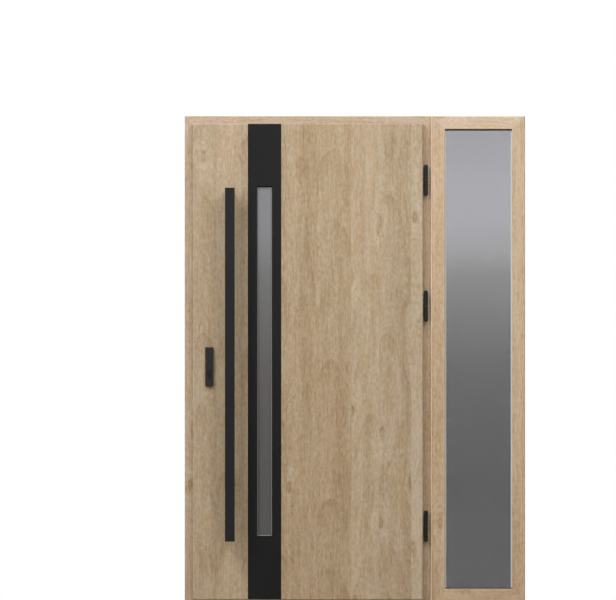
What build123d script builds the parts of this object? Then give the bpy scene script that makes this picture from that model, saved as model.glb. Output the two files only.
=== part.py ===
"""Exterior door set: an outward-opening oak-faced leaf in a rebated frame, with a fixed
glazed sidelight beside its hinges. All sizes are in millimetres."""

import os

from build123d import *

# X runs to the right as seen from outside, Y runs indoors and Z is up. The origin is the middle
# of the set's width, the middle of the door frame's depth and the underside of the sill.

# Whole set
door_frame_width = 1060.0
sidelight_width = 405.0
set_height = 2090.0

# Door frame: jambs and head share one section, a flat member with a stop along its inner edge
frame_depth = 100.0
frame_face = 48.0
stop_height = 17.0
stop_depth = 49.0
frame_round = 0.8

# Threshold: a low aluminium bar between the jambs
threshold_height = 20.0
threshold_nose = 9.0
threshold_slope = 16.0
threshold_groove = 3.0
threshold_groove_depth = 1.5
threshold_groove_pitch = 9.0
threshold_groove_count = 4

# Soft seal on the face of the stop
seal_width = 8.0
seal_height = 5.0
seal_round = 3.0
seal_inset = 1.0
seal_clearance = 5.0

# Leaf: an outer panel whose lip laps over the frame, a core and an inner panel
side_reveal = 35.0
head_reveal = 31.0
leaf_gap = 7.0
floor_gap = 9.0
lip_gap = 5.0
lip_thickness = 22.0
lip_round = 3.5
inner_panel_thickness = 6.0
inner_panel_round = 2.0

# Black insert let into the outer panel, with a slot of glass down its middle
insert_offset = 236.8
insert_width = 143.5
insert_thickness = 3.0
insert_sunk = 2.0
insert_end_inset = 2.0
insert_round = 0.8
slot_width = 63.5
slot_height = 1511.0

# Glazing of the slot
pane_thickness = 6.0
glass_cover = 14.0
glass_clearance = 1.0
slot_gasket_thickness = 8.0
slot_gasket_show = 5.0
slot_cavity = 26.0
spacer_width = 8.0
spacer_inset = 4.0
inner_trim_flange = 18.0
inner_trim_thickness = 3.0

# Pull bar
pull_offset = 159.0
pull_width = 42.0
pull_depth = 32.0
pull_length = 1524.0
pull_drop = 13.5
pull_standoff = 40.0
pull_round = 1.5
post_diameter = 22.0
post_inset = 262.0
rose_diameter = 34.0
rose_thickness = 4.0

# Lock: outside plate, cylinder, inside plate with its lever, and the bolts in the leaf's edge
lock_backset = 50.5
cylinder_height = 988.5
lever_rise = 92.0
escutcheon_width = 34.5
escutcheon_height = 168.5
escutcheon_below = 61.5
escutcheon_thickness = 10.0
escutcheon_corner = 4.0
escutcheon_round = 2.0
inside_plate_height = 230.0
plug_housing_diameter = 17.0
web_width = 10.0
web_drop = 19.5
cylinder_proud = 1.5
cylinder_clearance = 0.3
key_slot_width = 2.2
key_slot_height = 9.0
key_slot_depth = 9.0
lever_neck_diameter = 18.0
lever_neck_length = 46.0
lever_length = 132.0
lever_height = 20.0
lever_depth = 12.0
lever_round = 3.0
faceplate_width = 22.0
faceplate_thickness = 3.0
faceplate_foot_margin = 163.0
faceplate_head_margin = 125.0
latch_width = 12.0
latch_height = 30.0
bolt_width = 14.0
bolt_height = 36.0
bolt_length = 42.0
bolt_clearance = 0.4
bolt_room = 2.0
end_bolt_margin = 160.0
strike_margin = 48.0
strike_corner = 4.0
strike_pocket = 22.0

# Barrel hinges, each held by three screw pins to the leaf and three to the jamb
upper_hinge_drop = 244.5
middle_hinge_drop = 786.5
lower_hinge_rise = 316.0
barrel_diameter = 17.0
barrel_face_clearance = 5.0
barrel_edge_clearance = 5.0
knuckle_length = 63.5
knuckle_joint_gap = 0.6
knuckle_chamfer = 1.0
cap_diameter = 13.0
cap_height = 3.0
cap_round = 1.0
pivot_diameter = 7.0
pivot_clearance = 0.05
pivot_reach = 48.0
screw_diameter = 6.0
screw_clearance = 0.05
screw_seat = 5.0
screw_spacing = 21.5
screw_end_margin = 5.0
screw_depth_in_leaf = 16.0
screw_depth_in_frame = 30.0

# Cover strip in the joint between the door frame and the sidelight
strip_width = 4.3
strip_round = 2.0

# Sidelight: a mitred frame that stands a little proud of the jamb, glazed from inside
sidelight_proud = 12.0
sidelight_depth = 100.0
sidelight_face = 56.0
sidelight_round = 4.0
sidelight_lip = 12.0
sidelight_gasket_thickness = 4.0
side_gasket_show = 5.5
head_gasket_show = 6.0
sill_gasket_show = 4.0
sidelight_cavity = 16.0
setting_gap = 3.0
bead_depth = 22.0
bead_bevel = 5.0

# Places that follow from the sizes above
set_width = door_frame_width + sidelight_width
left_x = -set_width / 2
joint_x = left_x + door_frame_width
right_x = joint_x + sidelight_width
front_y = -frame_depth / 2
back_y = frame_depth / 2
stop_y = back_y - stop_depth

leaf_left = left_x + side_reveal
leaf_right = joint_x - side_reveal
leaf_bottom = floor_gap
leaf_top = set_height - head_reveal
leaf_front = front_y - lip_gap - lip_thickness
lip_back = front_y - lip_gap
leaf_back = stop_y - seal_height - seal_clearance
core_back = leaf_back - inner_panel_thickness
body_left = left_x + frame_face + leaf_gap
body_right = joint_x - frame_face - leaf_gap
body_bottom = threshold_height + leaf_gap
body_top = set_height - frame_face - leaf_gap

insert_left = leaf_left + insert_offset
insert_right = insert_left + insert_width
slot_left = (insert_left + insert_right - slot_width) / 2
slot_right = slot_left + slot_width
slot_bottom = (leaf_bottom + leaf_top - slot_height) / 2
slot_top = slot_bottom + slot_height
insert_back = leaf_front + insert_sunk
slot_glass_front = insert_back + slot_gasket_thickness
slot_cavity_front = slot_glass_front + pane_thickness
slot_cavity_back = slot_cavity_front + slot_cavity
slot_glass_back = slot_cavity_back + pane_thickness

pull_x = leaf_left + pull_offset
pull_foot = (leaf_bottom + leaf_top - pull_length) / 2 - pull_drop
pull_back = leaf_front - pull_standoff
pull_front = pull_back - pull_depth

lock_x = body_left + lock_backset
lever_axis = cylinder_height + lever_rise
bolt_y = (lip_back + leaf_back) / 2
escutcheon_middle = cylinder_height - escutcheon_below + escutcheon_height / 2
escutcheon_face = leaf_front - escutcheon_thickness
inside_plate_face = leaf_back + escutcheon_thickness
inside_plate_middle = (cylinder_height + lever_axis) / 2
strike_x = left_x + frame_face
faceplate_bottom = body_bottom + faceplate_foot_margin
faceplate_top = body_top - faceplate_head_margin
lower_bolt_height = faceplate_bottom + end_bolt_margin
upper_bolt_height = faceplate_top - end_bolt_margin

hinge_heights = {
    "upper": leaf_top - upper_hinge_drop,
    "middle": leaf_top - middle_hinge_drop,
    "lower": leaf_bottom + lower_hinge_rise,
}
hinge_x = leaf_right + barrel_edge_clearance + barrel_diameter / 2
hinge_y = front_y - barrel_face_clearance - barrel_diameter / 2
screw_steps = (-screw_spacing, 0.0, screw_spacing)
screw_middle = knuckle_joint_gap / 2 + knuckle_length - screw_end_margin - screw_spacing
leaf_screw_heights = [h + screw_middle + s for h in hinge_heights.values() for s in screw_steps]
frame_screw_heights = [h - screw_middle + s for h in hinge_heights.values() for s in screw_steps]

sidelight_front = front_y - sidelight_proud
sidelight_rebate = glass_cover + setting_gap
sidelight_left = joint_x + strip_width
light_left = sidelight_left + sidelight_face
light_right = right_x - sidelight_face
light_bottom = sidelight_face
light_top = set_height - sidelight_face
gasket_front = sidelight_front + sidelight_lip
light_glass_front = gasket_front + sidelight_gasket_thickness
light_cavity_front = light_glass_front + pane_thickness
light_cavity_back = light_cavity_front + sidelight_cavity
light_glass_back = light_cavity_back + pane_thickness

frame_section = [
    (0, 0),
    (frame_face, 0),
    (frame_face, stop_y - front_y),
    (frame_face + stop_height, stop_y - front_y),
    (frame_face + stop_height, frame_depth),
    (0, frame_depth),
]
seal_edge = frame_face + stop_height - seal_inset
seal_section = [
    (seal_edge - seal_width, stop_y - front_y),
    (seal_edge - seal_width, stop_y - front_y - seal_height),
    (seal_edge, stop_y - front_y - seal_height),
    (seal_edge, stop_y - front_y),
]
sidelight_section = [
    (0, 0),
    (sidelight_face, 0),
    (sidelight_face, sidelight_lip),
    (sidelight_face - sidelight_rebate, sidelight_lip),
    (sidelight_face - sidelight_rebate, sidelight_depth),
    (0, sidelight_depth),
]
bead_front = light_glass_back - sidelight_front
bead_section = [
    (sidelight_face - sidelight_rebate, bead_front),
    (sidelight_face, bead_front),
    (sidelight_face, bead_front + bead_depth - bead_bevel),
    (sidelight_face - bead_bevel, bead_front + bead_depth),
    (sidelight_face - sidelight_rebate, bead_front + bead_depth),
]


def upright(y):
    """The upright plane at depth y, drawn as seen from outside: X to the right and Z up."""
    return Plane.XZ.offset(-y)


def rectangle(y, left, right, bottom, top, margin=0.0):
    """A rectangle on the upright plane at depth y, grown by a margin all round."""
    with BuildSketch(upright(y)) as face:
        with Locations(((left + right) / 2, (bottom + top) / 2)):
            Rectangle(right - left + 2 * margin, top - bottom + 2 * margin)
    return face.sketch


def ring(y, left, right, bottom, top, outer_margin, inner_margin):
    """A rectangular ring on the upright plane at depth y, between two margins of a rectangle."""
    with BuildSketch(upright(y)) as face:
        with Locations(((left + right) / 2, (bottom + top) / 2)):
            Rectangle(right - left + 2 * outer_margin, top - bottom + 2 * outer_margin)
            Rectangle(right - left + 2 * inner_margin, top - bottom + 2 * inner_margin, mode=Mode.SUBTRACT)
    return face.sketch


def bar(start, inward, along, length, section, rounding=0.0, mitres=(True, True)):
    """A bar of constant section along a line, mitred at 45 degrees at either end or both. The section's
    X runs in from the outer edge and its Y runs back; its two foremost corners are rounded."""
    plane = Plane(origin=start, x_dir=inward, z_dir=along)
    with BuildPart() as member:
        with BuildSketch(plane) as face:
            with BuildLine():
                Polyline(*section, close=True)
            make_face()
            if rounding:
                fillet(face.vertices().group_by(Axis.Y)[0], rounding)
        extrude(amount=length)
        if mitres[0]:
            split(bisect_by=Plane(plane.origin, z_dir=plane.z_dir - plane.x_dir), keep=Keep.TOP)
        if mitres[1]:
            end = plane.origin + plane.z_dir * length
            split(bisect_by=Plane(end, z_dir=plane.z_dir + plane.x_dir), keep=Keep.BOTTOM)
    return member.part


def door_frame_bars(section, rounding, foot):
    """Left, top and right bars of one section round the doorway, mitred at the top corners."""
    rise = set_height - foot
    left = bar((left_x, front_y, foot), (1, 0, 0), (0, 0, 1), rise, section, rounding, (False, True))
    top = bar((left_x, front_y, set_height), (0, 0, -1), (1, 0, 0), door_frame_width, section, rounding)
    right = bar((joint_x, front_y, set_height), (-1, 0, 0), (0, 0, -1), rise, section, rounding, (True, False))
    return left, top, right


def sidelight_bars(section, rounding):
    """Left, right, top and bottom bars of one section round the sidelight, mitred at its corners."""
    front = sidelight_front
    across = right_x - sidelight_left
    left = bar((sidelight_left, front, 0), (1, 0, 0), (0, 0, 1), set_height, section, rounding)
    right = bar((right_x, front, set_height), (-1, 0, 0), (0, 0, -1), set_height, section, rounding)
    top = bar((sidelight_left, front, set_height), (0, 0, -1), (1, 0, 0), across, section, rounding)
    bottom = bar((right_x, front, 0), (0, 0, 1), (-1, 0, 0), across, section, rounding)
    return left, right, top, bottom


def cylinder_profile(y, margin=0.0):
    """Profile of the lock cylinder: a round plug housing over a narrower web with a round foot."""
    with BuildSketch(upright(y)) as profile:
        with Locations((lock_x, cylinder_height)):
            Circle(plug_housing_diameter / 2 + margin)
        with Locations((lock_x, cylinder_height - web_drop / 2)):
            Rectangle(web_width + 2 * margin, web_drop)
        with Locations((lock_x, cylinder_height - web_drop)):
            Circle(web_width / 2 + margin)
    return profile.sketch


def latch_face(x, margin=0.0):
    """End of the latch on the upright plane across the leaf's edge at x."""
    with BuildSketch(Plane.YZ.offset(x)) as face:
        with Locations((bolt_y, lever_axis)):
            Rectangle(latch_width + 2 * margin, latch_height + 2 * margin)
    return face.sketch


def dead_bolt_faces(x, margin=0.0):
    """Ends of the three dead bolts on the upright plane across the leaf's edge at x."""
    with BuildSketch(Plane.YZ.offset(x)) as faces:
        with Locations(*[(bolt_y, z) for z in (lower_bolt_height, cylinder_height, upper_bolt_height)]):
            Rectangle(bolt_width + 2 * margin, bolt_height + 2 * margin)
    return faces.sketch


def strike_faces():
    """Outlines of the three strike plates on the rebate of the left jamb."""
    spans = [
        (lower_bolt_height, lower_bolt_height),
        (cylinder_height, lever_axis),
        (upper_bolt_height, upper_bolt_height),
    ]
    with BuildSketch(Plane.YZ.offset(strike_x)) as faces:
        for low, high in spans:
            with Locations((bolt_y, (low + high) / 2)):
                RectangleRounded(faceplate_width, high - low + 2 * strike_margin, strike_corner)
    return faces.sketch


def faceplate_face():
    """Outline of the lock's faceplate on the edge of the leaf's body."""
    with BuildSketch(Plane.YZ.offset(body_left)) as face:
        with Locations((bolt_y, (faceplate_bottom + faceplate_top) / 2)):
            RectangleRounded(faceplate_width, faceplate_top - faceplate_bottom, strike_corner)
    return face.sketch


def leaf_screw_faces(x, margin=0.0):
    """Round ends of the hinge screws that enter the leaf's edge, on the plane across it at x."""
    with BuildSketch(Plane.YZ.offset(x)) as faces:
        with Locations(*[(hinge_y, z) for z in leaf_screw_heights]):
            Circle(screw_diameter / 2 + margin)
    return faces.sketch


def frame_screw_faces(y, margin=0.0):
    """Round ends of the hinge screws that enter the jamb, on the upright plane at depth y."""
    with BuildSketch(upright(y)) as faces:
        with Locations(*[(hinge_x, z) for z in frame_screw_heights]):
            Circle(screw_diameter / 2 + margin)
    return faces.sketch


def knuckle(middle, side):
    """Half of a hinge barrel, above its joint for side 1 and below it for side -1: a turned body with
    a chamfered end and a round cap, bored for the pivot from the joint."""
    radius = barrel_diameter / 2
    cap_radius = cap_diameter / 2
    start = side * knuckle_joint_gap / 2
    end = start + side * knuckle_length
    tip = end + side * cap_height
    axis_point = (hinge_x, hinge_y, middle)
    with BuildPart() as half:
        with BuildSketch(Plane(origin=axis_point, x_dir=(1, 0, 0), z_dir=(0, -1, 0))):
            with BuildLine():
                Polyline(
                    (0, start),
                    (radius, start),
                    (radius, end - side * knuckle_chamfer),
                    (radius - knuckle_chamfer, end),
                    (cap_radius, end),
                    (cap_radius, tip - side * cap_round),
                    (cap_radius - cap_round, tip),
                    (0, tip),
                    close=True,
                )
            make_face()
        revolve(axis=Axis(axis_point, (0, 0, 1)))
        with Locations((hinge_x, hinge_y, middle + side * pivot_reach / 2)):
            Cylinder(pivot_diameter / 2 + pivot_clearance, pivot_reach, mode=Mode.SUBTRACT)
    return half.part


# Left jamb, let in for the strike plates and pocketed for the bolts behind them
jamb_left, head_bar, jamb_right = door_frame_bars(frame_section, frame_round, 0.0)
with BuildPart() as left_jamb:
    add(jamb_left)
    extrude(strike_faces(), amount=-faceplate_thickness, mode=Mode.SUBTRACT)
    extrude(latch_face(strike_x, bolt_room), amount=-strike_pocket, mode=Mode.SUBTRACT)
    extrude(dead_bolt_faces(strike_x, bolt_room), amount=-strike_pocket, mode=Mode.SUBTRACT)

# Right jamb, drilled for the hinge screws
with BuildPart() as right_jamb:
    add(jamb_right)
    extrude(frame_screw_faces(front_y, screw_clearance), amount=-screw_depth_in_frame, mode=Mode.SUBTRACT)

with BuildPart() as head:
    add(head_bar)

# Threshold: sloped nose, flat tread with grip grooves, notched round the stops of the jambs
tread_x = left_x + frame_face
tread_length = door_frame_width - 2 * frame_face
with BuildPart() as threshold:
    with BuildSketch(Plane.YZ.offset(tread_x)):
        with BuildLine():
            Polyline(
                (front_y, 0),
                (front_y, threshold_nose),
                (front_y + threshold_slope, threshold_height),
                (back_y - threshold_slope, threshold_height),
                (back_y, threshold_nose),
                (back_y, 0),
                close=True,
            )
        make_face()
        with Locations((stop_y + stop_depth / 4, threshold_height)):
            with GridLocations(threshold_groove_pitch, 1, threshold_groove_count, 1):
                Rectangle(threshold_groove, 2 * threshold_groove_depth, mode=Mode.SUBTRACT)
    extrude(amount=tread_length)
    with BuildSketch(Plane.XY):
        with Locations((tread_x + tread_length / 2, stop_y + stop_depth / 2)):
            with GridLocations(tread_length, 1, 2, 1):
                Rectangle(2 * stop_height, stop_depth)
    extrude(amount=threshold_height, mode=Mode.SUBTRACT)

# Seal round three sides of the stop, above the threshold
with BuildPart() as frame_seal:
    for seal_bar in door_frame_bars(seal_section, seal_round, threshold_height):
        add(seal_bar)

with BuildPart() as strike_plates:
    extrude(strike_faces(), amount=-faceplate_thickness)
    extrude(latch_face(strike_x, bolt_room), amount=-faceplate_thickness, mode=Mode.SUBTRACT)
    extrude(dead_bolt_faces(strike_x, bolt_room), amount=-faceplate_thickness, mode=Mode.SUBTRACT)

# Outer panel of the leaf: its lip laps over the frame on all sides
with BuildPart() as leaf_outer_panel:
    extrude(rectangle(leaf_front, leaf_left, leaf_right, leaf_bottom, leaf_top), amount=-lip_thickness)
    fillet(leaf_outer_panel.faces().sort_by(Axis.Y)[0].edges(), lip_round)
    extrude(
        rectangle(leaf_front, insert_left, insert_right, leaf_bottom, leaf_top, glass_clearance / 4),
        amount=-insert_sunk,
        mode=Mode.SUBTRACT,
    )
    extrude(
        rectangle(leaf_front, slot_left, slot_right, slot_bottom, slot_top, glass_cover + glass_clearance),
        amount=-lip_thickness,
        mode=Mode.SUBTRACT,
    )
    extrude(leaf_screw_faces(leaf_right, screw_clearance), amount=-screw_depth_in_leaf, mode=Mode.SUBTRACT)
    extrude(cylinder_profile(leaf_front, cylinder_clearance), amount=-lip_thickness, mode=Mode.SUBTRACT)

# Core of the leaf, mortised for the lock
with BuildPart() as leaf_core:
    extrude(rectangle(lip_back, body_left, body_right, body_bottom, body_top), amount=lip_back - core_back)
    extrude(
        rectangle(lip_back, slot_left, slot_right, slot_bottom, slot_top, glass_cover + glass_clearance),
        amount=lip_back - core_back,
        mode=Mode.SUBTRACT,
    )
    extrude(cylinder_profile(lip_back, cylinder_clearance), amount=lip_back - core_back, mode=Mode.SUBTRACT)
    extrude(faceplate_face(), amount=faceplate_thickness, mode=Mode.SUBTRACT)
    extrude(latch_face(body_left, bolt_clearance), amount=bolt_length, mode=Mode.SUBTRACT)
    extrude(dead_bolt_faces(body_left, bolt_clearance), amount=bolt_length, mode=Mode.SUBTRACT)

with BuildPart() as leaf_inner_panel:
    extrude(rectangle(core_back, body_left, body_right, body_bottom, body_top), amount=-inner_panel_thickness)
    fillet(leaf_inner_panel.faces().sort_by(Axis.Y)[-1].edges(), inner_panel_round)
    extrude(
        rectangle(core_back, slot_left, slot_right, slot_bottom, slot_top, glass_cover + glass_clearance),
        amount=-inner_panel_thickness,
        mode=Mode.SUBTRACT,
    )
    extrude(cylinder_profile(core_back, cylinder_clearance), amount=-inner_panel_thickness, mode=Mode.SUBTRACT)

# Black insert with its slot
with BuildPart() as black_insert:
    extrude(
        rectangle(insert_back, insert_left, insert_right, leaf_bottom + insert_end_inset, leaf_top - insert_end_inset),
        amount=insert_thickness,
    )
    extrude(
        rectangle(insert_back, slot_left, slot_right, slot_bottom, slot_top),
        amount=insert_thickness,
        mode=Mode.SUBTRACT,
    )
    fillet(black_insert.faces().sort_by(Axis.Y)[0].edges(), insert_round)

# Black gasket between the insert and the glass: it shows at the head and foot of the slot
with BuildPart() as slot_gasket:
    extrude(
        rectangle(insert_back, slot_left, slot_right, slot_bottom, slot_top, glass_cover + glass_clearance),
        amount=-slot_gasket_thickness,
    )
    extrude(
        rectangle(insert_back, slot_left, slot_right, slot_bottom + slot_gasket_show, slot_top - slot_gasket_show),
        amount=-slot_gasket_thickness,
        mode=Mode.SUBTRACT,
    )

with BuildPart() as slot_outer_pane:
    extrude(
        rectangle(slot_glass_front, slot_left, slot_right, slot_bottom, slot_top, glass_cover),
        amount=-pane_thickness,
    )

with BuildPart() as slot_spacer:
    spacer_edge = glass_cover - spacer_inset
    extrude(
        ring(slot_cavity_front, slot_left, slot_right, slot_bottom, slot_top, spacer_edge, spacer_edge - spacer_width),
        amount=-slot_cavity,
    )

with BuildPart() as slot_inner_pane:
    extrude(
        rectangle(slot_cavity_back, slot_left, slot_right, slot_bottom, slot_top, glass_cover),
        amount=-pane_thickness,
    )

# Black trim that holds the glass from indoors and laps over the inner panel
with BuildPart() as slot_inner_trim:
    extrude(
        ring(slot_glass_back, slot_left, slot_right, slot_bottom, slot_top, glass_cover, 0.0),
        amount=slot_glass_back - leaf_back,
    )
    trim_edge = glass_cover + inner_trim_flange
    extrude(
        ring(leaf_back, slot_left, slot_right, slot_bottom, slot_top, trim_edge, 0.0),
        amount=-inner_trim_thickness,
    )

# Pull bar on two posts
with BuildPart() as pull_bar:
    extrude(
        rectangle(pull_front, pull_x - pull_width / 2, pull_x + pull_width / 2, pull_foot, pull_foot + pull_length),
        amount=-pull_depth,
    )
    fillet(pull_bar.edges(), pull_round)

with BuildPart() as pull_posts:
    with BuildSketch(upright(leaf_front)):
        with Locations((pull_x, pull_foot + post_inset), (pull_x, pull_foot + pull_length - post_inset)):
            Circle(rose_diameter / 2)
    extrude(amount=rose_thickness)
    with BuildSketch(upright(leaf_front)):
        with Locations((pull_x, pull_foot + post_inset), (pull_x, pull_foot + pull_length - post_inset)):
            Circle(post_diameter / 2)
    extrude(amount=pull_standoff)

# Outside lock plate
with BuildPart() as escutcheon:
    with BuildSketch(upright(leaf_front)):
        with Locations((lock_x, escutcheon_middle)):
            RectangleRounded(escutcheon_width, escutcheon_height, escutcheon_corner)
    extrude(amount=escutcheon_thickness)
    fillet(escutcheon.faces().sort_by(Axis.Y)[0].edges(), escutcheon_round)
    extrude(cylinder_profile(leaf_front, cylinder_clearance), amount=escutcheon_thickness, mode=Mode.SUBTRACT)

# Lock cylinder, with a key slot at each end
cylinder_front = escutcheon_face - cylinder_proud
cylinder_back = inside_plate_face + cylinder_proud
with BuildPart() as lock_cylinder:
    extrude(cylinder_profile(cylinder_front), amount=cylinder_front - cylinder_back)
    key_slot = {"left": lock_x - key_slot_width / 2, "right": lock_x + key_slot_width / 2}
    key_slot["bottom"] = cylinder_height - key_slot_height / 2
    key_slot["top"] = cylinder_height + key_slot_height / 2
    extrude(rectangle(cylinder_front, **key_slot), amount=-key_slot_depth, mode=Mode.SUBTRACT)
    extrude(rectangle(cylinder_back, **key_slot), amount=key_slot_depth, mode=Mode.SUBTRACT)

# Inside lock plate and the lever that stands on it
with BuildPart() as inside_plate:
    with BuildSketch(upright(leaf_back)):
        with Locations((lock_x, inside_plate_middle)):
            RectangleRounded(escutcheon_width, inside_plate_height, escutcheon_corner)
    extrude(amount=-escutcheon_thickness)
    fillet(inside_plate.faces().sort_by(Axis.Y)[-1].edges(), escutcheon_round)
    extrude(cylinder_profile(leaf_back, cylinder_clearance), amount=-escutcheon_thickness, mode=Mode.SUBTRACT)

grip_front = inside_plate_face + lever_neck_length - lever_depth
with BuildPart() as inside_lever:
    extrude(
        rectangle(
            grip_front,
            lock_x - lever_height / 2,
            lock_x - lever_height / 2 + lever_length,
            lever_axis - lever_height / 2,
            lever_axis + lever_height / 2,
        ),
        amount=-lever_depth,
    )
    fillet(inside_lever.edges(), lever_round)
    with BuildSketch(upright(inside_plate_face)):
        with Locations((lock_x, lever_axis)):
            Circle(lever_neck_diameter / 2)
    extrude(amount=-(lever_neck_length - lever_depth / 2))

# Lock faceplate and the bolts behind it, drawn back so that the leaf is free to swing
with BuildPart() as lock_faceplate:
    extrude(faceplate_face(), amount=faceplate_thickness)
    extrude(latch_face(body_left, bolt_clearance), amount=faceplate_thickness, mode=Mode.SUBTRACT)
    extrude(dead_bolt_faces(body_left, bolt_clearance), amount=faceplate_thickness, mode=Mode.SUBTRACT)

with BuildPart() as lock_bolts:
    extrude(latch_face(body_left), amount=bolt_length)
    extrude(dead_bolt_faces(body_left), amount=bolt_length)

# Hinges: the upper half of each barrel is pinned to the leaf and the lower half to the jamb
leaf_knuckles = {}
frame_knuckles = {}
for place, height in hinge_heights.items():
    with BuildPart() as leaf_knuckle:
        add(knuckle(height, 1))
        seat = leaf_screw_faces(hinge_x - screw_seat, screw_clearance)
        extrude(seat, amount=-barrel_diameter, mode=Mode.SUBTRACT)
    leaf_knuckles[place] = leaf_knuckle.part
    with BuildPart() as frame_knuckle:
        add(knuckle(height, -1))
        seat = frame_screw_faces(hinge_y + screw_seat, screw_clearance)
        extrude(seat, amount=-barrel_diameter, mode=Mode.SUBTRACT)
    frame_knuckles[place] = frame_knuckle.part

with BuildPart() as hinge_pivots:
    with Locations(*[(hinge_x, hinge_y, height) for height in hinge_heights.values()]):
        Cylinder(pivot_diameter / 2, 2 * pivot_reach - 2 * knuckle_joint_gap)

with BuildPart() as hinge_leaf_screws:
    screw_start = hinge_x - screw_seat
    extrude(leaf_screw_faces(screw_start), amount=leaf_right - screw_depth_in_leaf - screw_start)

with BuildPart() as hinge_frame_screws:
    screw_start = hinge_y + screw_seat
    extrude(frame_screw_faces(screw_start), amount=screw_start - front_y - screw_depth_in_frame)

# Cover strip beside the right jamb, with a rounded front
with BuildPart() as joint_strip:
    extrude(rectangle(sidelight_front, joint_x, sidelight_left, 0, set_height), amount=-sidelight_depth)
    fillet(joint_strip.faces().sort_by(Axis.Y)[0].edges().filter_by(Axis.Z), strip_round)

# Sidelight frame and the beads that hold its glass from indoors
left_stile, right_stile, top_rail, bottom_rail = sidelight_bars(sidelight_section, sidelight_round)
left_bead, right_bead, top_bead, bottom_bead = sidelight_bars(bead_section, 0.0)

with BuildPart() as sidelight_outer_pane:
    extrude(
        rectangle(light_glass_front, light_left, light_right, light_bottom, light_top, glass_cover),
        amount=-pane_thickness,
    )

with BuildPart() as sidelight_spacer:
    spacer_edge = glass_cover - spacer_inset
    extrude(
        ring(
            light_cavity_front, light_left, light_right, light_bottom, light_top, spacer_edge, spacer_edge - spacer_width
        ),
        amount=-sidelight_cavity,
    )

with BuildPart() as sidelight_inner_pane:
    extrude(
        rectangle(light_cavity_back, light_left, light_right, light_bottom, light_top, glass_cover),
        amount=-pane_thickness,
    )

# Black gaskets across the head and foot of the glass
gasket_left = light_left - glass_cover
gasket_right = light_right + glass_cover
tape_bottom = light_bottom + sill_gasket_show
tape_top = light_top - head_gasket_show
with BuildPart() as sidelight_end_gaskets:
    for bottom, top in ((light_bottom, tape_bottom), (tape_top, light_top)):
        extrude(rectangle(gasket_front, gasket_left, gasket_right, bottom, top), amount=-sidelight_gasket_thickness)

# Pale glazing tape down both sides of the glass, between the gaskets
tape_left = light_left + side_gasket_show
tape_right = light_right - side_gasket_show
with BuildPart() as sidelight_side_tapes:
    for left, right in ((gasket_left, tape_left), (tape_right, gasket_right)):
        extrude(rectangle(gasket_front, left, right, tape_bottom, tape_top), amount=-sidelight_gasket_thickness)

pieces = {
    "left_jamb": left_jamb.part,
    "right_jamb": right_jamb.part,
    "head": head.part,
    "threshold": threshold.part,
    "frame_seal": frame_seal.part,
    "strike_plates": strike_plates.part,
    "leaf_outer_panel": leaf_outer_panel.part,
    "leaf_core": leaf_core.part,
    "leaf_inner_panel": leaf_inner_panel.part,
    "black_insert": black_insert.part,
    "slot_gasket": slot_gasket.part,
    "slot_outer_pane": slot_outer_pane.part,
    "slot_spacer": slot_spacer.part,
    "slot_inner_pane": slot_inner_pane.part,
    "slot_inner_trim": slot_inner_trim.part,
    "pull_bar": pull_bar.part,
    "pull_posts": pull_posts.part,
    "escutcheon": escutcheon.part,
    "lock_cylinder": lock_cylinder.part,
    "inside_plate": inside_plate.part,
    "inside_lever": inside_lever.part,
    "lock_faceplate": lock_faceplate.part,
    "lock_bolts": lock_bolts.part,
    "hinge_pivots": hinge_pivots.part,
    "hinge_leaf_screws": hinge_leaf_screws.part,
    "hinge_frame_screws": hinge_frame_screws.part,
    "joint_strip": joint_strip.part,
    "sidelight_left_stile": left_stile,
    "sidelight_right_stile": right_stile,
    "sidelight_top_rail": top_rail,
    "sidelight_bottom_rail": bottom_rail,
    "sidelight_left_bead": left_bead,
    "sidelight_right_bead": right_bead,
    "sidelight_top_bead": top_bead,
    "sidelight_bottom_bead": bottom_bead,
    "sidelight_outer_pane": sidelight_outer_pane.part,
    "sidelight_spacer": sidelight_spacer.part,
    "sidelight_inner_pane": sidelight_inner_pane.part,
    "sidelight_side_tapes": sidelight_side_tapes.part,
    "sidelight_end_gaskets": sidelight_end_gaskets.part,
}
for place in hinge_heights:
    pieces[f"{place}_hinge_leaf_knuckle"] = leaf_knuckles[place]
    pieces[f"{place}_hinge_frame_knuckle"] = frame_knuckles[place]

os.makedirs("parts", exist_ok=True)
for name, piece in pieces.items():
    piece.label = name
    export_step(piece, f"parts/{name}.step")
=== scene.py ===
import math

import bmesh
import bpy
import numpy as np
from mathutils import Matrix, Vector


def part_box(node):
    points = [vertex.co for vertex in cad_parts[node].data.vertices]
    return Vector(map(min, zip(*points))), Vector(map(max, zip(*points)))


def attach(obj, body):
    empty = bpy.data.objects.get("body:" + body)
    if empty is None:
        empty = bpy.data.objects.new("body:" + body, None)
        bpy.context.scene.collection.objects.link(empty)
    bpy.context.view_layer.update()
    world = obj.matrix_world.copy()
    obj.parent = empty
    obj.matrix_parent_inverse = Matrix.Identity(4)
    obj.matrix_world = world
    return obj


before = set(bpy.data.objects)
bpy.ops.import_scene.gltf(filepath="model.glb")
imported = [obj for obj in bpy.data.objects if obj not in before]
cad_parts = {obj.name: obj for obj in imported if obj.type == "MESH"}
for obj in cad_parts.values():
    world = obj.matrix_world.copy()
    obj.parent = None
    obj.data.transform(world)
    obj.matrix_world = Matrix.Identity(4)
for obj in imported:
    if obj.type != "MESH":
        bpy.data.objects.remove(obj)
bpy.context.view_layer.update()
bpy.context.scene.view_settings.view_transform = "Standard"


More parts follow.
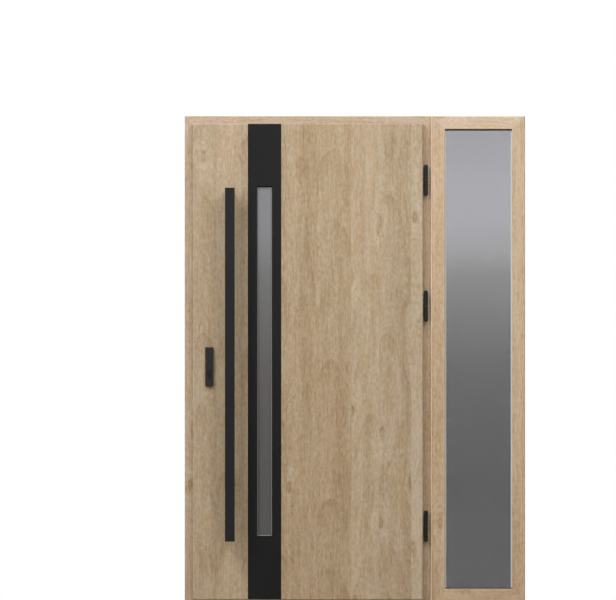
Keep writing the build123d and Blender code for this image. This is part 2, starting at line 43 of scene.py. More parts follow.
# Threshold: an extruded aluminium bar bedded on the floor between the jambs, with grip grooves along its
# tread. Its skin is natural anodised and brushed along the length.
def material_tree(name):
    """A new material with its node tree emptied down to a Principled shader and an output."""
    material = bpy.data.materials.new(name)
    material.use_nodes = True
    tree = material.node_tree
    tree.nodes.clear()
    output = tree.nodes.new("ShaderNodeOutputMaterial")
    shader = tree.nodes.new("ShaderNodeBsdfPrincipled")
    tree.links.new(shader.outputs["BSDF"], output.inputs["Surface"])
    return material, tree, shader


def node(tree, kind, inputs, **settings):
    """A shader node with its settings made, and each input set to a value or linked to a socket."""
    made = tree.nodes.new("ShaderNode" + kind)
    for key, value in settings.items():
        setattr(made, key, value)
    for key, value in inputs.items():
        if isinstance(value, bpy.types.NodeSocket):
            tree.links.new(value, made.inputs[key])
        else:
            made.inputs[key].default_value = value
    return made


def calc(tree, operation, *inputs):
    """One step of arithmetic on numbers or sockets."""
    return node(tree, "Math", dict(enumerate(inputs)), operation=operation).outputs["Value"]


def vector(tree, operation, *inputs, **named):
    """One step of arithmetic on places or colours, axis by axis."""
    return node(tree, "VectorMath", dict(enumerate(inputs), **named), operation=operation).outputs["Vector"]


def stretched(tree, scale, turn=(0.0, 0.0, 0.0), shift=(0.0, 0.0, 0.0)):
    """Object coordinates, turned, moved and then scaled along each axis."""
    place = node(tree, "TexCoord", {}).outputs["Object"]
    turned = node(tree, "Mapping", {"Vector": place, "Rotation": turn, "Location": shift}).outputs["Vector"]
    return vector(tree, "MULTIPLY", turned, scale)


def noise(tree, place, detail=3.0, roughness=0.55, distortion=0.0):
    """Fractal noise from 0 to 1 at a place."""
    inputs = {"Vector": place, "Scale": 1.0, "Detail": detail, "Roughness": roughness, "Distortion": distortion}
    return node(tree, "TexNoise", inputs).outputs["Fac"]


def ramp(tree, factor, *stops):
    """Colours blended along a factor; each stop is a position and a colour."""
    made = node(tree, "ValToRGB", {"Fac": factor})
    band = made.color_ramp.elements
    first, last = band[0], band[1]
    last.position, first.position = stops[-1][0], stops[0][0]
    for position, colour in stops[1:-1]:
        band.new(position)
    for element, (position, colour) in zip(band, stops):
        element.color = (*colour, 1.0)
    return made.outputs["Color"]


def span(tree, factor, low, high, from_low=0.0, from_high=1.0):
    """A factor's range carried over to another range, and held at its ends."""
    inputs = {"Value": factor, "From Min": from_low, "From Max": from_high, "To Min": low, "To Max": high}
    return node(tree, "MapRange", inputs).outputs["Result"]


def bump(tree, shader, height, depth, strength=1.0):
    """Small relief of a given depth in metres under the shader's light."""
    relief = node(tree, "Bump", {"Height": height, "Distance": depth, "Strength": strength})
    tree.links.new(relief.outputs["Normal"], shader.inputs["Normal"])


def dress(material, *names):
    """Gives CAD nodes one material."""
    for name in names:
        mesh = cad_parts[name].data
        mesh.materials.clear()
        mesh.materials.append(material)


anodised, tree, shader = material_tree("anodised_threshold")
brushing = noise(tree, stretched(tree, (6.0, 900.0, 900.0)), 4.0, 0.6)
cloud = noise(tree, stretched(tree, (7.0, 7.0, 7.0)), 2.0)
tone = span(tree, calc(tree, "ADD", brushing, cloud), 0.0, 1.0, 0.5, 1.5)
colour = ramp(tree, tone, (0.0, (0.40, 0.41, 0.40)), (1.0, (0.60, 0.61, 0.60)))
tree.links.new(colour, shader.inputs["Base Color"])
tree.links.new(span(tree, brushing, 0.30, 0.46), shader.inputs["Roughness"])
shader.inputs["Metallic"].default_value = 1.0
bump(tree, shader, brushing, 0.00012)
dress(anodised, "threshold")


# Jambs: straight members of the door frame, wrapped in a pale oak foil whose grain runs up them.
# The foil is satin, printed with soft streaks and lightly embossed with pores.
def axes(tree, place):
    """A place's X, Y and Z."""
    return node(tree, "SeparateXYZ", {"Vector": place}).outputs


def oak(
    name, dark, middle, light, turn=(0.0, 0.0, 0.0), shift=(0.0, 0.0, 0.0), board=9.0, painted_falloff=0.0, edge_highlights=()
):
    """Oak foil with its grain along Z, printed as boards of random width side by side, each a little lighter,
    darker, pinker or greyer than the next. Bands, streaks, hair lines and mottle are noises stretched ever less
    along the grain. Growth rings are equal steps of the distance from a slightly tilted pith, so that they arch.
    Knots sit in a few cells of a stretched Voronoi net: the grain parts round them and rings close about them.
    A painted falloff of the light from above makes the foil lighter by so much tone for each metre of height.
    Along edges given a painted highlight, each given by its axis, its place and its strength, the foil is painted
    paler and made smoother over a few millimetres."""
    knot_width, knot_length, knot_ring, ring_step = 0.13, 0.34, 0.010, 0.015
    falloff_start, highlight_width = 0.85, 0.007
    material, tree, shader = material_tree(name)
    place = stretched(tree, (1.0, 1.0, 1.0), turn, shift)
    width_way = axes(tree, place)["X"]
    boards = node(tree, "TexVoronoi", {"W": width_way, "Scale": 1.0 / board}, voronoi_dimensions="1D").outputs
    chance = axes(tree, boards["Color"])
    moved = vector(tree, "ADD", place, vector(tree, "MULTIPLY", boards["Color"], (0.0, 3.0, 11.0)))

    def along(width, length, source):
        """Places divided by a width across the grain and a length along it."""
        return vector(tree, "MULTIPLY", source, (1.0 / width, 1.0 / width, 1.0 / length))

    def tinted(colour, factor, cool, warm):
        """A colour multiplied by a tint that goes from warm to cool as the factor rises."""
        return vector(tree, "MULTIPLY", colour, ramp(tree, factor, (0.35, warm), (0.65, cool)))

    spot = axes(tree, along(knot_width, knot_length, moved))
    net = node(tree, "CombineXYZ", {"X": spot["X"], "Y": spot["Z"]}).outputs["Vector"]
    knots = node(tree, "TexVoronoi", {"Vector": net, "Scale": 1.0}, voronoi_dimensions="2D").outputs
    live = span(tree, axes(tree, knots["Color"])["X"], 0.0, 1.0, 0.76, 0.80)
    near = calc(tree, "MULTIPLY", live, span(tree, knots["Distance"], 1.0, 0.0, 0.0, 0.46))
    core = calc(tree, "MULTIPLY", live, span(tree, knots["Distance"], 1.0, 0.0, 0.05, 0.13))
    aside = vector(tree, "SUBTRACT", net, knots["Position"])
    aside = vector(tree, "MULTIPLY", aside, (-0.9 * knot_width, 0.0, 0.0))
    parting = vector(tree, "SCALE", aside, Scale=near)
    drift = {"Vector": along(0.22, 0.55, moved), "Scale": 1.0, "Detail": 2.0}
    sway = vector(tree, "SUBTRACT", node(tree, "TexNoise", drift).outputs["Color"], (0.5, 0.5, 0.5))
    bent = vector(tree, "ADD", moved, vector(tree, "MULTIPLY_ADD", sway, (0.055, 0.055, 0.0), parting))

    bands = noise(tree, along(0.085, 2.2, bent), 3.0, 0.6)
    streaks = noise(tree, along(0.034, 0.40, bent), 3.0, 0.55, 0.6)
    hairs = noise(tree, along(0.0062, 0.130, bent), 2.0, 0.6, 0.3)
    mottle = noise(tree, along(0.0085, 0.019, bent), 2.0, 0.6)
    flecks = span(tree, noise(tree, along(0.022, 0.055, bent), 1.0, 0.5, 0.9), 0.0, 1.0, 0.66, 0.80)
    bowed = axes(tree, bent)
    offset = calc(tree, "SUBTRACT", bowed["X"], boards["W"])
    depth = calc(tree, "MULTIPLY_ADD", bowed["Z"], 0.050, 0.02)
    radius = calc(tree, "SQRT", calc(tree, "MULTIPLY_ADD", offset, offset, calc(tree, "MULTIPLY", depth, depth)))
    late_wood = calc(tree, "POWER", calc(tree, "FRACT", calc(tree, "DIVIDE", radius, ring_step)), 3.0)
    shown = span(tree, noise(tree, along(0.10, 0.30, moved), 2.0), 0.0, 1.0, 0.42, 0.62)
    rings = calc(tree, "MULTIPLY", late_wood, shown)
    knot_turns = 2 * math.pi * knot_width / knot_ring
    knot_rings = calc(tree, "SINE", calc(tree, "MULTIPLY", knots["Distance"], knot_turns))

    tone = calc(tree, "MULTIPLY_ADD", calc(tree, "SUBTRACT", chance["X"], 0.5), 0.26, 0.57)
    for part, share in ((bands, 0.80), (streaks, 0.62), (hairs, 0.80), (mottle, 1.15)):
        tone = calc(tree, "MULTIPLY_ADD", calc(tree, "SUBTRACT", part, 0.5), share, tone)
    for part, share in ((rings, -0.26), (flecks, -0.26), (near, 0.20), (core, -0.55)):
        tone = calc(tree, "MULTIPLY_ADD", part, share, tone)
    tone = calc(tree, "MULTIPLY_ADD", calc(tree, "MULTIPLY", knot_rings, near), 0.13, tone)
    satin = span(tree, streaks, 0.50, 0.64)
    built = axes(tree, stretched(tree, (1.0, 1.0, 1.0)))
    # Painted falloff: the foil is painted lighter towards the top, standing in for the light from above.
    if painted_falloff:
        tone = calc(tree, "MULTIPLY_ADD", calc(tree, "SUBTRACT", built["Z"], falloff_start), painted_falloff, tone)
    # Painted highlights: the foil is painted paler, and made smoother, in a band along each given edge.
    if edge_highlights:
        patchy = span(tree, noise(tree, along(0.05, 0.12, place), 3.0), 0.35, 1.0, 0.35, 0.65)
        highlight_and_polish = 0.0
        for axis, edge, highlight_strength in edge_highlights:
            away = calc(tree, "ABSOLUTE", calc(tree, "SUBTRACT", built[axis], edge))
            one_highlight = calc(tree, "MULTIPLY", span(tree, away, highlight_strength, 0.0, 0.0, highlight_width), patchy)
            highlight_and_polish = calc(tree, "MAXIMUM", highlight_and_polish, one_highlight)
        tone = calc(tree, "MULTIPLY_ADD", highlight_and_polish, 0.42, tone)
        satin = calc(tree, "MULTIPLY_ADD", highlight_and_polish, -0.10, satin)
    colour = ramp(tree, tone, (0.0, dark), (0.5, middle), (1.0, light))

    clouds = noise(tree, along(0.16, 0.7, moved), 3.0)
    patches = noise(tree, along(0.030, 0.090, moved), 2.0)
    colour = tinted(colour, chance["Y"], (0.988, 1.003, 1.012), (1.008, 0.998, 0.984))
    colour = tinted(colour, clouds, (0.984, 1.008, 1.0), (1.014, 0.992, 0.990))
    colour = tinted(colour, patches, (0.994, 1.004, 1.040), (1.006, 0.996, 0.958))
    pores = span(tree, noise(tree, along(0.0008, 0.028, bent), 1.0, 0.5), 0.0, 1.0, 0.60, 0.70)
    colour = vector(tree, "SCALE", colour, Scale=span(tree, pores, 1.0, 0.84))
    tree.links.new(colour, shader.inputs["Base Color"])
    tree.links.new(satin, shader.inputs["Roughness"])
    shader.inputs["Specular IOR Level"].default_value = 0.30
    bump(tree, shader, calc(tree, "SUBTRACT", hairs, pores), 0.00012)
    return material


lock_jamb_oak = oak(
    "lock_jamb_oak", (0.308, 0.211, 0.127), (0.437, 0.332, 0.229), (0.530, 0.444, 0.343), shift=(0.3, 0.0, 0.9)
)
dress(lock_jamb_oak, "left_jamb")
# Painted light: the hinge jamb's foil is a lighter copy of the lock jamb's, to make up for the leaf's shadow on it.
painted_light_hinge_jamb_oak = oak(
    "painted_light_hinge_jamb_oak", (0.330, 0.222, 0.128), (0.470, 0.350, 0.232), (0.570, 0.466, 0.347), shift=(0.9, 0.0, 2.4)
)
dress(painted_light_hinge_jamb_oak, "right_jamb")


# Head: the top member of the door frame, wrapped in the same oak foil as the jambs and mitred to them,
# so its grain runs level and is turned for that.
level_grain = (0.0, math.pi / 2, 0.0)
head_oak = oak(
    "head_oak",
    (0.357, 0.250, 0.158),
    (0.482, 0.364, 0.258),
    (0.572, 0.466, 0.362),
    turn=level_grain,
    shift=(0.7, 0.0, 0.2),
)
dress(head_oak, "head")


# Seal: a black foam-rubber profile pushed into a groove of the stop all round the opening. The closed leaf
# squeezes it, and its dull skin has fine pores.
def grained(name, scale, low, high, smooth, dull, detail=2.0, coarse=0.55, metal=0.0, mirror=0.5, relief=0.0):
    """A finish with one grain: a noise of a scale along each axis mixes two colours, moves the roughness from
    smooth to dull, and raises a relief of so many metres where one is given."""
    material, tree, shader = material_tree(name)
    grain = noise(tree, stretched(tree, scale), detail, coarse)
    tree.links.new(ramp(tree, grain, (0.3, low), (0.7, high)), shader.inputs["Base Color"])
    tree.links.new(span(tree, grain, smooth, dull), shader.inputs["Roughness"])
    shader.inputs["Metallic"].default_value = metal
    shader.inputs["Specular IOR Level"].default_value = mirror
    if relief:
        bump(tree, shader, grain, relief)
    return material


seal_rubber = grained(
    "seal_rubber", (420.0, 420.0, 420.0), (0.010, 0.010, 0.010), (0.020, 0.020, 0.020), 0.70, 0.88, relief=0.0002
)
dress(seal_rubber, "frame_seal")


# Strike plates: stainless plates let into the rebate of the lock jamb, which take the bolts of the lock.
# They are punched from sheet and brushed up and down.
brushed_steel = grained(
    "brushed_steel",
    (700.0, 700.0, 8.0),
    (0.42, 0.43, 0.44),
    (0.58, 0.59, 0.60),
    0.26,
    0.42,
    detail=4.0,
    coarse=0.6,
    metal=1.0,
    relief=0.00008,
)
dress(brushed_steel, "strike_plates")


# Cover strip: a narrow rounded moulding that closes the upright joint between the door frame and the
# sidelight. Its oak foil, with the grain running up it, is painted far paler than the rest: a painted highlight
# along the joint.
painted_highlight_strip_oak = oak(
    "painted_highlight_strip_oak", (0.560, 0.430, 0.300), (0.700, 0.575, 0.430), (0.800, 0.690, 0.560), shift=(2.3, 0.0, 0.6)
)
dress(painted_highlight_strip_oak, "joint_strip")


# Sidelight stiles and rails: mitred bars in a slightly paler oak foil, upright grain on the stiles and level
# grain on the rails. The stiles carry a painted falloff, painted lighter towards the top, and the left stile a
# painted highlight, paler and smoother, where the glass meets it. The top rail is painted paler and the bottom rail
# darker, a painted falloff of the light from above.
glass_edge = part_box("sidelight_left_stile")[1].x
stile_oak = oak(
    "stile_oak",
    (0.326, 0.213, 0.119),
    (0.461, 0.333, 0.211),
    (0.576, 0.454, 0.326),
    shift=(1.7, 0.0, 2.3),
    painted_falloff=0.19,
    edge_highlights=(("X", glass_edge, 2.6),),
)
dress(stile_oak, "sidelight_left_stile", "sidelight_right_stile", "sidelight_left_bead", "sidelight_right_bead")
# Painted light: the top rail's foil is a paler copy, standing in for more light from above.
painted_lit_top_rail_oak = oak(
    "painted_lit_top_rail_oak", (0.397, 0.283, 0.181), (0.529, 0.405, 0.290), (0.623, 0.513, 0.400), level_grain, (0.1, 0.0, 1.3)
)
dress(painted_lit_top_rail_oak, "sidelight_top_rail", "sidelight_top_bead")
# Painted shade: the bottom rail's foil is a darker copy, standing in for less light near the floor.
painted_shade_bottom_rail_oak = oak(
    "painted_shade_bottom_rail_oak",
    (0.353, 0.236, 0.138),
    (0.470, 0.340, 0.222),
    (0.556, 0.430, 0.306),
    level_grain,
    (1.9, 0.0, 0.5),
)
dress(painted_shade_bottom_rail_oak, "sidelight_bottom_rail", "sidelight_bottom_bead")


# Sidelight glass: a double pane set into the bars. The outer pane is grey sun-control glass, whose coated
# face mirrors part of the light, and the inner one is clear.
def coated_glass(name, tint, mirror_ior, clear=0.97):
    """Glass: light that passes takes the tint, and the index of refraction sets how much the face mirrors."""
    material, tree, shader = material_tree(name)
    wave = noise(tree, stretched(tree, (3.0, 3.0, 1.2)), 1.0)
    shader.inputs["Base Color"].default_value = (*tint, 1.0)
    shader.inputs["Roughness"].default_value = 0.0
    shader.inputs["IOR"].default_value = mirror_ior
    shader.inputs["Transmission Weight"].default_value = clear
    bump(tree, shader, wave, 0.00004, 0.3)
    return material


sidelight_glass = coated_glass("sidelight_glass", (0.228, 0.228, 0.229), 3.2)
dress(sidelight_glass, "sidelight_outer_pane")
clear_glass = coated_glass("clear_glass", (0.92, 0.92, 0.92), 1.5, 1.0)
dress(clear_glass, "sidelight_inner_pane")


# Spacer: a folded aluminium strip glued all round between the two panes, which keeps them apart.
# It is left with the dull grey finish of the mill.
spacer_metal = grained(
    "spacer_metal", (160.0, 160.0, 160.0), (0.46, 0.47, 0.48), (0.60, 0.61, 0.62), 0.38, 0.55, detail=3.0, metal=1.0
)
dress(spacer_metal, "sidelight_spacer")


# Glazing tapes: pale grey closed-cell foam, stuck down both sides of the sidelight's glass. They seal the
# pane against the stiles and show as a thin light line.
glazing_tape = grained(
    "glazing_tape", (600.0, 600.0, 600.0), (0.58, 0.59, 0.60), (0.66, 0.67, 0.68), 0.55, 0.75, relief=0.0001
)
dress(glazing_tape, "sidelight_side_tapes")


# Gaskets: extruded rubber strips pressed in against the glass, charcoal at the sidelight's head and foot. Round
# the slot they are painted near black, a painted shade standing in for the shadow gap there. Their skin is dull.
charcoal_rubber = grained(
    "charcoal_rubber",
    (500.0, 500.0, 500.0),
    (0.024, 0.024, 0.025),
    (0.036, 0.036, 0.037),
    0.60,
    0.80,
    mirror=0.10,
    relief=0.0001,
)
dress(charcoal_rubber, "sidelight_end_gaskets")
# Painted shade: the slot gasket is a near-black copy of the rubber, standing in for the shadow gap round the slot
# glass.
painted_shade_rubber = grained(
    "painted_shade_rubber",
    (500.0, 500.0, 500.0),
    (0.003, 0.003, 0.003),
    (0.007, 0.007, 0.007),
    0.60,
    0.80,
    mirror=0.10,
    relief=0.0001,
)
dress(painted_shade_rubber, "slot_gasket")


# Hinges: turned steel barrels with a satin black coat; bright zinc-plated screw pins tie the upper half
# of each barrel to the leaf's edge and the lower half to the jamb.
def black_coat(name, low, high, rough, mirror):
    """Black powder coat: a fine orange-peel relief, with tone and gloss drifting a little over it."""
    material, tree, shader = material_tree(name)
    peel = noise(tree, stretched(tree, (900.0, 900.0, 900.0)), 2.0, 0.5)
    drift = noise(tree, stretched(tree, (5.0, 5.0, 3.0)), 2.0)
    tone = span(tree, calc(tree, "MULTIPLY_ADD", peel, 0.35, drift), 0.0, 1.0, 0.45, 0.90)
    tree.links.new(ramp(tree, tone, (0.0, low), (1.0, high)), shader.inputs["Base Color"])
    tree.links.new(span(tree, drift, rough - 0.05, rough + 0.07), shader.inputs["Roughness"])
    shader.inputs["Specular IOR Level"].default_value = mirror
    bump(tree, shader, peel, 0.00006)
    return material


hinge_black = black_coat("hinge_black", (0.0176, 0.0180, 0.0186), (0.0225, 0.0230, 0.0236), 0.36, 0.14)
for height in ("upper", "middle", "lower"):
    dress(hinge_black, f"{height}_hinge_leaf_knuckle", f"{height}_hinge_frame_knuckle")
zinc_plate = grained(
    "zinc_plate", (300.0, 300.0, 300.0), (0.30, 0.30, 0.31), (0.42, 0.42, 0.43), 0.22, 0.38, detail=3.0, metal=1.0
)
dress(zinc_plate, "hinge_pivots", "hinge_leaf_screws", "hinge_frame_screws")


# Leaf: two oak-faced panels glued to a timber-edged core; the outer one laps over the frame. The foil shows
# boards side by side, and a painted highlight, paler and smoother, along the lock edge and the top.
low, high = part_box("leaf_outer_panel")
leaf_oak = oak(
    "leaf_oak",
    (0.306, 0.208, 0.118),
    (0.418, 0.318, 0.208),
    (0.506, 0.422, 0.315),
    board=0.12,
    edge_highlights=(("X", low.x, 0.4), ("Z", high.z, 1.0)),
)
dress(leaf_oak, "leaf_outer_panel", "leaf_inner_panel", "leaf_core")


# Insert: a powder-coated aluminium sheet let into the outer panel from top to bottom, with the slot cut in
# it. The trim round the slot indoors has the same satin black coat.
insert_black = black_coat("insert_black", (0.0130, 0.0134, 0.0140), (0.0156, 0.0161, 0.0168), 0.36, 0.13)
dress(insert_black, "black_insert", "slot_inner_trim")


# Slot glass: a narrow double pane behind the insert, in grey privacy glass that lets little through, held at
# the front by a bevelled bead of dark anodised aluminium.
slot_glass = coated_glass("slot_glass", (0.152, 0.152, 0.152), 2.3, 0.30)
dress(slot_glass, "slot_outer_pane")
dress(clear_glass, "slot_inner_pane")
dress(spacer_metal, "slot_spacer")


def net_mesh(name, grid, material, wrap_rows=False):
    """A closed mesh over a grid of points (rows, columns, xyz): neighbours make quads, the last column joins the
    first, and where the rows wrap the last row joins the first. Points that coincide at a pole are merged."""
    rows, columns = grid.shape[:2]
    number = np.arange(rows * columns).reshape(rows, columns)
    if wrap_rows:
        number = np.vstack([number, number[:1]])
    beside = np.roll(number, -1, axis=1)
    quads = np.stack([number[:-1], beside[:-1], beside[1:], number[1:]], axis=-1).reshape(-1, 4)
    mesh = bpy.data.meshes.new(name)
    mesh.from_pydata(grid.reshape(-1, 3).tolist(), [], quads.tolist())
    build = bmesh.new()
    build.from_mesh(mesh)
    bmesh.ops.remove_doubles(build, verts=build.verts, dist=1e-7)
    bmesh.ops.recalc_face_normals(build, faces=build.faces)
    build.to_mesh(mesh)
    build.free()
    mesh.materials.append(material)
    piece = bpy.data.objects.new(name, mesh)
    bpy.context.scene.collection.objects.link(piece)
    return piece


def levels_of(name, axis, digits):
    """The different levels along an axis at which a CAD node has corners, from low to high."""
    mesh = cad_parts[name].data
    points = np.empty(len(mesh.vertices) * 3)
    mesh.vertices.foreach_get("co", points)
    return np.unique(points.reshape(-1, 3)[:, axis].round(digits))


bead_metal = grained(
    "bead_metal",
    (900.0, 900.0, 30.0),
    (0.20, 0.20, 0.205),
    (0.26, 0.26, 0.265),
    0.42,
    0.58,
    detail=3.0,
    mirror=0.20,
    relief=0.00005,
)

# The bevel is a profile of insets from the opening and rises over the glass, carried round its four corners.
# The gasket is a ring, so the inner two of its four levels along an axis are the opening.
bead_width, bead_height, bead_nose, bead_room = 0.0032, 0.0085, 0.0006, 0.0001
glass_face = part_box("slot_outer_pane")[0].y
inset = np.array([bead_room, bead_room, bead_nose, bead_width - bead_nose / 2, bead_width, bead_width])
rise = np.array([bead_room, bead_height, bead_height, bead_nose, bead_nose / 2, bead_room])
left, right = levels_of("slot_gasket", 0, 5)[1:3]
foot, top = levels_of("slot_gasket", 2, 5)[1:3]
side = np.stack([left + inset, right - inset, right - inset, left + inset], axis=1)
end = np.stack([foot + inset, foot + inset, top - inset, top - inset], axis=1)
over = np.repeat((glass_face - rise)[:, None], 4, axis=1)
slot_bead = net_mesh("slot_bead", np.stack([side, over, end], axis=-1), bead_metal, wrap_rows=True)
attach(slot_bead, "leaf")


# Pull bar: a long flat steel tube screwed to two turned posts that stand on the leaf. Bar and posts share
# one satin black powder coat.
pull_black = black_coat("pull_black", (0.0183, 0.0188, 0.0195), (0.0222, 0.0228, 0.0236), 0.38, 0.13)
dress(pull_black, "pull_bar", "pull_posts")


# Lock: black-coated plates screwed to both faces, a dark cylinder through the leaf, a lever indoors, and a
# stainless faceplate with its bolts in the leaf's edge.
lock_black = black_coat("lock_black", (0.026, 0.0258, 0.0253), (0.031, 0.0308, 0.0302), 0.42, 0.13)
dress(lock_black, "escutcheon", "inside_plate", "inside_lever")
cylinder_black = black_coat("cylinder_black", (0.0155, 0.0154, 0.0151), (0.0195, 0.0193, 0.0190), 0.50, 0.10)
dress(cylinder_black, "lock_cylinder")
dress(brushed_steel, "lock_faceplate", "lock_bolts")


# Cylinder collars: thin black plates pressed on round the cylinder, which close the gap between it and the
# lock plates on both faces. Their outline is the cylinder's own: a barrel with a narrow tongue below.
low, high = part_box("lock_cylinder")
bore, web = (high.x - low.x) / 2, 0.005
middle_x, middle_z = (low.x + high.x) / 2, high.z - bore
waist = math.asin(web / bore) - math.pi / 2
barrel = np.linspace(waist, math.pi - waist, 72)
tongue = np.linspace(math.pi, 2 * math.pi, 36)
outline = np.concatenate(
    [
        np.stack([bore * np.cos(barrel), bore * np.sin(barrel)], axis=1),
        np.stack([web * np.cos(tongue), low.z + web - middle_z + web * np.sin(tongue)], axis=1),
    ]
)
# The plate's profile is carried round that outline: offsets along its outward normal, and rises off the face.
ahead = np.roll(outline, -1, axis=0) - np.roll(outline, 1, axis=0)
outward = np.stack([ahead[:, 1], -ahead[:, 0]], axis=1) / np.linalg.norm(ahead, axis=1, keepdims=True)
offset = np.array([-0.0003, -0.0003, 0.0007, 0.0010])
rise = np.array([-0.0001, 0.0004, 0.0004, -0.0001])
spread = outline[None] + offset[:, None, None] * outward[None]
for name, face, way in (
    ("outer_cylinder_collar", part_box("escutcheon")[0].y, -1.0),
    ("inner_cylinder_collar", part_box("inside_plate")[1].y, 1.0),
):
    over = np.repeat((face + way * rise)[:, None], len(outline), axis=1)
    grid = np.stack([middle_x + spread[..., 0], over, middle_z + spread[..., 1]], axis=-1)
    collar = net_mesh(name, grid, cylinder_black, wrap_rows=True)
    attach(collar, "leaf")


# Key plug: the turning core of the cylinder, a low button with a keyway on each face of the leaf, turned from
# brass and coated in the same black as the plates.
def turned_face(radius, height, cut, rings=40, spokes=96):
    """A button as a function of turn and reach: flat on top with a rounded rim, lowered by a cut of the two
    cross-wise places, and closed below by a flat disc. Gives places across, up and out of the face."""
    sunk = 0.0001
    reach = np.linspace(0.0, 1.0, rings)[:, None]
    turn = np.linspace(0.0, 2 * math.pi, spokes, endpoint=False)[None, :]
    across, up = radius * reach * np.cos(turn), radius * reach * np.sin(turn)
    out = height * (1.0 - reach**10) - cut(across, up)
    under = np.linspace(1.0, 0.0, 3)[:, None]
    across = np.vstack([across, radius * under * np.cos(turn)])
    up = np.vstack([up, radius * under * np.sin(turn)])
    out = np.vstack([out, np.full((3, spokes), -sunk)])
    return across, up, out


def groove(place, half, soft):
    """One inside a groove of a given half width and nought outside it, with a soft edge."""
    return np.clip((half + soft - np.abs(place)) / (2 * soft), 0.0, 1.0)


def keyway(across, up):
    """Depth of the key's slot: narrow across, tall, and set a little below the middle."""
    key_depth, below_middle = 0.0010, 0.0004
    return key_depth * groove(across, 0.0009, 0.0002) * groove(up + below_middle, 0.0032, 0.0003)


plug_radius, plug_height = 0.0048, 0.0012
across, up, out = turned_face(plug_radius, plug_height, keyway)
for name, face, way in (("outer_key_plug", low.y, -1.0), ("inner_key_plug", high.y, 1.0)):
    grid = np.stack([middle_x + across, face + way * out, middle_z + up], axis=-1)
    key_plug = net_mesh(name, grid, lock_black)
    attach(key_plug, "leaf")


# Lock screws: oval-headed screws with a cross recess, driven through the strike plates, the faceplate and the
# inside plate. They are stainless, and blackened on the inside plate.
def cross_recess(across, up):
    """Depth of the recess: the deeper of an upright and a level groove through the middle."""
    arm, tip, recess_depth = 0.0006, 0.0021, 0.0007
    upright = groove(across, arm, 0.0002) * groove(up, tip, 0.0003)
    level = groove(up, arm, 0.0002) * groove(across, tip, 0.0003)
    return recess_depth * np.maximum(upright, level)


screw_radius, screw_height = 0.0036, 0.0010
across, up, out = turned_face(screw_radius, screw_height, cross_recess, 28, 64)

# One screw stands near each end of each strike plate; the plates end where the levels leave a wide gap.
strike_end_room, plate_gap = 0.010, 0.2
low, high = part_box("strike_plates")
middle_y = (low.y + high.y) / 2
levels = levels_of("strike_plates", 2, 4)
gaps = np.diff(levels) > plate_gap
plate_ends = np.concatenate([levels[:1], levels[:-1][gaps], levels[1:][gaps], levels[-1:]])
plate_ends.sort()
for count, (plate_end, inward) in enumerate(zip(plate_ends, (1, -1) * 3)):
    grid = np.stack([high.x + out, middle_y + across, plate_end + inward * strike_end_room + up], axis=-1)
    screw = net_mesh(f"strike_screw_{count + 1}", grid, brushed_steel)
    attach(screw, "frame")

low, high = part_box("lock_faceplate")
middle_y = (low.y + high.y) / 2
for count, share in enumerate((0.010, 0.215, 0.390, 0.610, 0.795, 0.990)):
    grid = np.stack([low.x - out, middle_y + across, low.z + share * (high.z - low.z) + up], axis=-1)
    screw = net_mesh(f"faceplate_screw_{count + 1}", grid, brushed_steel)
    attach(screw, "leaf")

plate_end_room = 0.016
low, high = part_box("inside_plate")
for name, screw_z in (
    ("inside_plate_lower_screw", low.z + plate_end_room),
    ("inside_plate_upper_screw", high.z - plate_end_room),
):
    grid = np.stack([(low.x + high.x) / 2 + across, high.y + out, screw_z + up], axis=-1)
    screw = net_mesh(name, grid, lock_black)
    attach(screw, "leaf")


# Studio: a pale floor, a graded card that only the glass and the coats mirror, soft lamps left and right,
# and a plain white surround.
def flat_sheet(name, corners, material):
    """A four-cornered sheet facing its viewer, as a stage object."""
    mesh = bpy.data.meshes.new(name)
    mesh.from_pydata(corners, [], [(0, 1, 2, 3)])
    mesh.materials.append(material)
    sheet = bpy.data.objects.new(name, mesh)
    bpy.context.scene.collection.objects.link(sheet)
    return sheet


floor_paint, tree, shader = material_tree("floor_paint")
shader.inputs["Base Color"].default_value = (0.52, 0.46, 0.39, 1.0)
shader.inputs["Roughness"].default_value = 0.8
flat_sheet("floor", [(-9, -9, -0.001), (9, -9, -0.001), (9, 9, -0.001), (-9, 9, -0.001)], floor_paint)

card_light, tree, shader = material_tree("card_light")
tree.nodes.remove(shader)
card_height = axes(tree, node(tree, "TexCoord", {}).outputs["Object"])["Z"]
sky = ramp(
    tree,
    span(tree, card_height, 0.0, 1.0, 0.0, 2.5),
    (0.0, (0.04, 0.04, 0.04)),
    (0.20, (0.02, 0.02, 0.02)),
    (0.31, (0.06, 0.06, 0.06)),
    (0.40, (0.13, 0.13, 0.13)),
    (0.48, (0.285, 0.285, 0.285)),
    (0.56, (0.49, 0.49, 0.49)),
    (0.602, (0.77, 0.77, 0.79)),
    (0.65, (0.93, 0.93, 1.00)),
    (0.71, (0.95, 0.95, 1.03)),
    (0.82, (0.80, 0.80, 0.87)),
    (1.0, (0.72, 0.72, 0.79)),
)
glow = node(tree, "Emission", {"Color": sky, "Strength": 1.0})
tree.links.new(glow.outputs["Emission"], tree.nodes["Material Output"].inputs["Surface"])
card = flat_sheet("sky_card", [(-6, -2.2, 0), (6, -2.2, 0), (6, -2.2, 5), (-6, -2.2, 5)], card_light)
card.visible_camera = False
card.visible_diffuse = False
card.visible_shadow = False


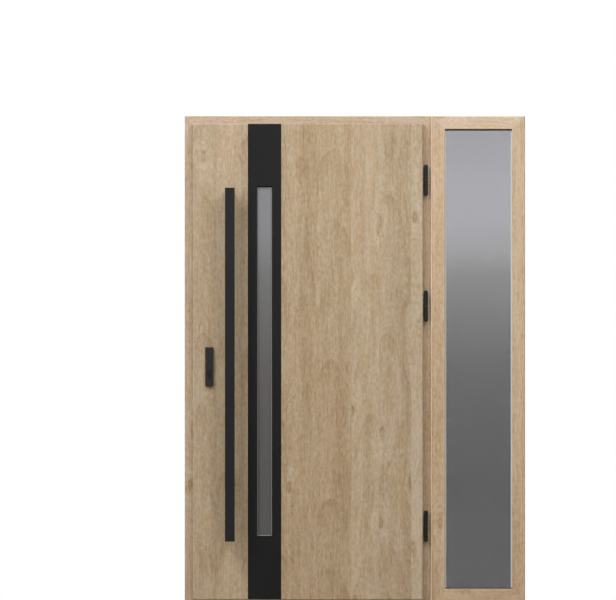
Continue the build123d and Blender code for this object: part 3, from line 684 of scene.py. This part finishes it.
def soft_lamp(name, bearing, climb, away, width, height, watts):
    """A soft lamp some metres away from the middle of the door, at a bearing from straight ahead and a climb in
    degrees, turned to face it."""
    door_middle = 1.1
    lamp = bpy.data.lights.new(name, "AREA")
    lamp.shape = "RECTANGLE"
    lamp.size = width
    lamp.size_y = height
    lamp.energy = watts
    holder = bpy.data.objects.new(name, lamp)
    bpy.context.scene.collection.objects.link(holder)
    turn, tilt = math.radians(bearing), math.radians(climb)
    ground = away * math.cos(tilt)
    holder.location = (ground * math.sin(turn), -ground * math.cos(turn), door_middle + away * math.sin(tilt))
    holder.rotation_euler = (math.pi / 2 - tilt, 0.0, turn)
    holder.visible_camera = False
    holder.visible_glossy = False
    holder.visible_transmission = False


soft_lamp("left_low_lamp", -58.0, 14.0, 9.0, 1.6, 1.2, 143.0)
soft_lamp("left_high_lamp", -45.0, 48.0, 9.0, 2.0, 5.0, 490.0)
soft_lamp("left_fill", -28.0, 38.0, 9.0, 3.0, 3.0, 88.0)
soft_lamp("right_lamp", 34.0, 48.0, 5.0, 1.9, 2.9, 98.0)
soft_lamp("front_lamp", 14.0, 24.0, 9.0, 2.6, 2.6, 83.0)
soft_lamp("back_lamp", 150.0, 35.0, 9.0, 5.0, 5.0, 420.0)

world = bpy.data.worlds.new("surround")
bpy.context.scene.world = world
world.use_nodes = True
tree = world.node_tree
tree.nodes.clear()
rays = node(tree, "LightPath", {}).outputs
seen = calc(tree, "MAXIMUM", rays["Is Camera Ray"], rays["Is Transmission Ray"])
seen = calc(tree, "MAXIMUM", seen, rays["Is Glossy Ray"])
white = node(tree, "Background", {"Color": (1.0, 1.0, 1.0, 1.0), "Strength": span(tree, seen, 0.10, 1.0)})
node(tree, "OutputWorld", {"Surface": white.outputs["Background"]})

metres_per_pixel = 0.004305
camera = bpy.data.objects.new("camera", bpy.data.cameras.new("camera"))
bpy.context.scene.collection.objects.link(camera)
camera.data.type = "ORTHO"
camera.data.ortho_scale = 616 * metres_per_pixel
camera.location = (-0.2019, -6.0, 1.299)
camera.rotation_euler = (math.pi / 2, 0.0, 0.0)
bpy.context.scene.camera = camera
